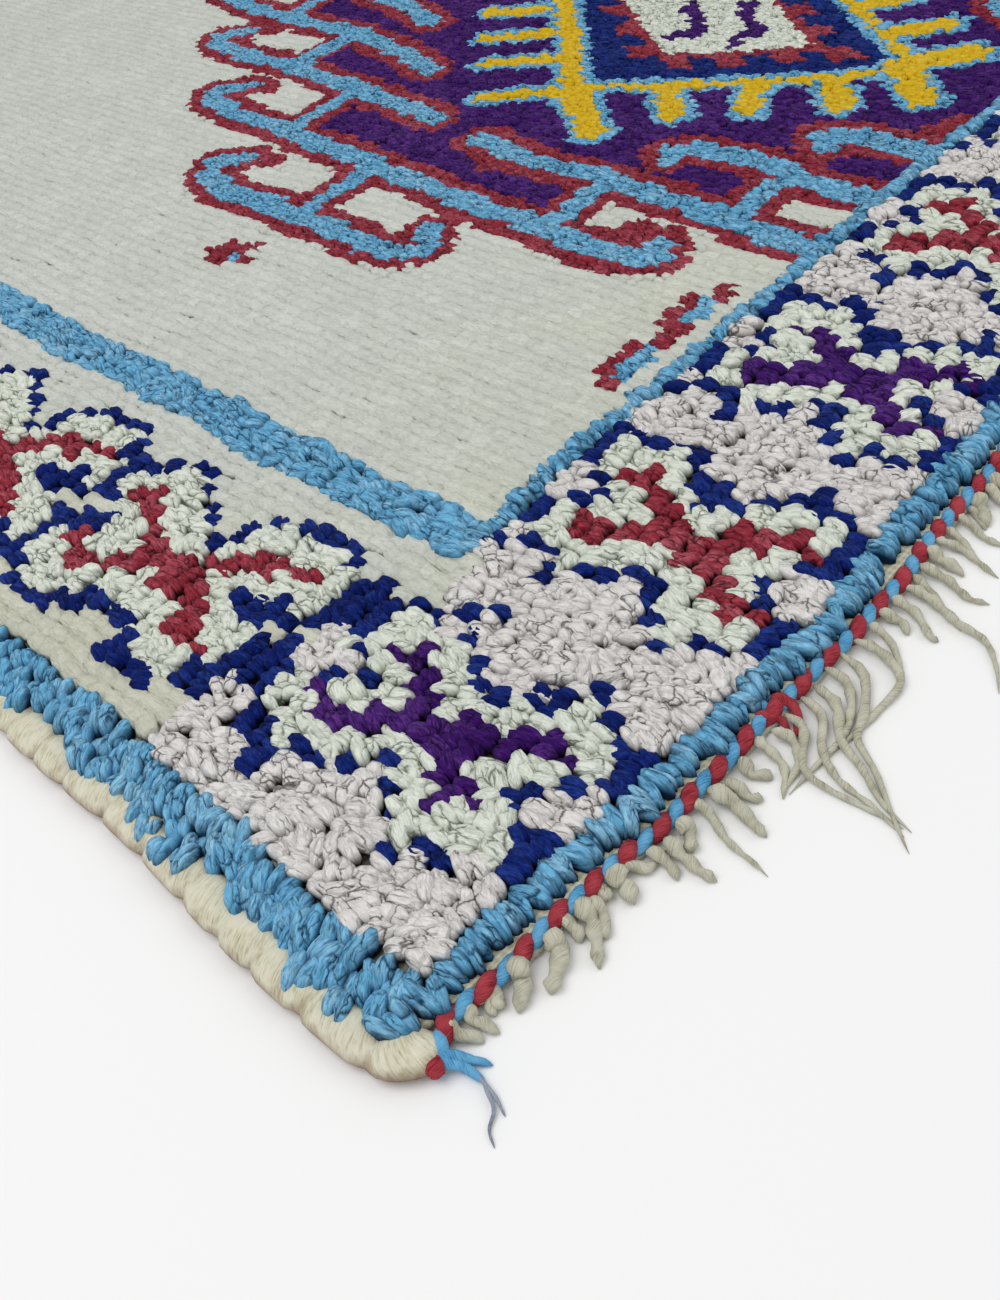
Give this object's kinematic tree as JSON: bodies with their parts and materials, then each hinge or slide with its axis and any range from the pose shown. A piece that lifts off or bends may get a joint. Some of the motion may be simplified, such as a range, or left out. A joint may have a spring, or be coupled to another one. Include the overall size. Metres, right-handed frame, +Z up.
{
  "type": "azilal rug",
  "caption": "Rectangular hand-knotted wool pile rug lying flat, with wrapped selvedges, twined end cords and yarn fringe.",
  "frame": {"origin": "on the floor under the middle of the whole rug, fringes included", "axes": "+X across the rug, +Y along it from the near end to the far end, +Z up through the pile"},
  "size_m": [1.3598, 2.0948, 0.0145],
  "materials": {
    "wool_pile": "knotted wool pile, cream ground with blue, navy, red, purple and yellow knots",
    "selvedge_wool": "wrapped cream wool",
    "twined_cord": "twined wool, red and light blue in turn",
    "fringe_yarn": "twisted undyed wool yarn",
    "tail_yarn": "loose light blue wool yarn"
  },
  "bodies": {
    "root": {"rug_cloth": "wool_pile", "selvedge_left": "selvedge_wool", "selvedge_right": "selvedge_wool", "end_cord_near": "twined_cord", "end_cord_far": "twined_cord", "fringe_near": "fringe_yarn", "fringe_far": "fringe_yarn", "corner_tail": "tail_yarn"}
  },
  "joints": []
}
